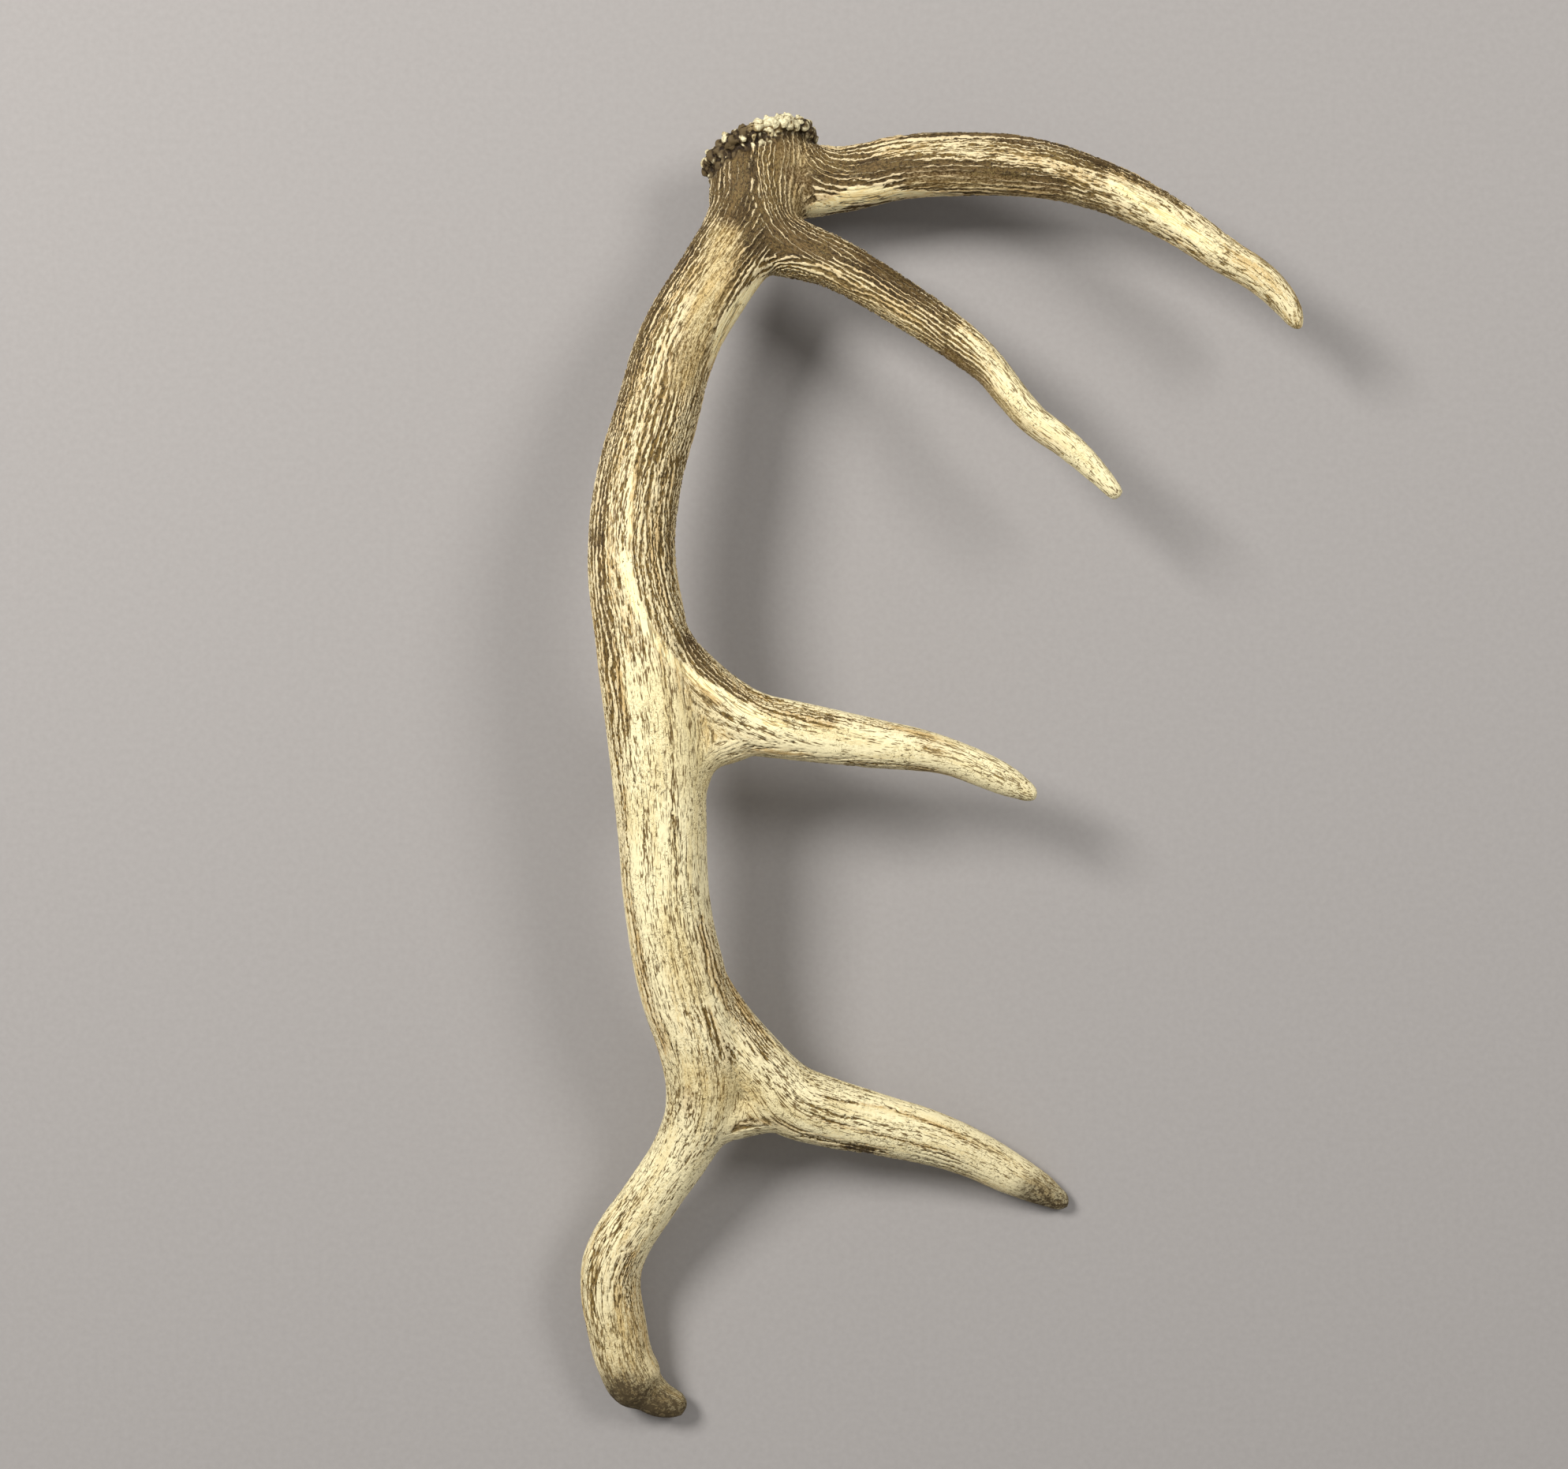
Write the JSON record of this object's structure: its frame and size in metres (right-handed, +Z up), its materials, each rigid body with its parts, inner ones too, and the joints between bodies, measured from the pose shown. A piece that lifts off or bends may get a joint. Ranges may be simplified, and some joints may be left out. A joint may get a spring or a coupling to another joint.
{
  "type": "deer antler",
  "caption": "Cast deer antler with a pearled burr, a long curved beam, brow, bez and trez tines and a forked top, lying on its inner side.",
  "frame": {"origin": "on the resting surface, under the middle of the antler's bounding box", "axes": "+Z up from the resting surface to the antler's outer side, +Y along the beam from its tip towards the burr, +X towards the side that the tines point to; right-handed"},
  "size_m": [0.3951, 0.7274, 0.1052],
  "materials": {
    "dark_antler": "satin",
    "streaked_antler": "satin",
    "pale_antler": "satin"
  },
  "bodies": {
    "root": {"burr_base": "dark_antler", "brow_tine": "dark_antler", "bez_tine": "dark_antler", "lower_beam": "streaked_antler", "trez_tine": "pale_antler", "upper_beam": "pale_antler", "fork_tine": "pale_antler", "beam_tip": "pale_antler"}
  },
  "joints": []
}
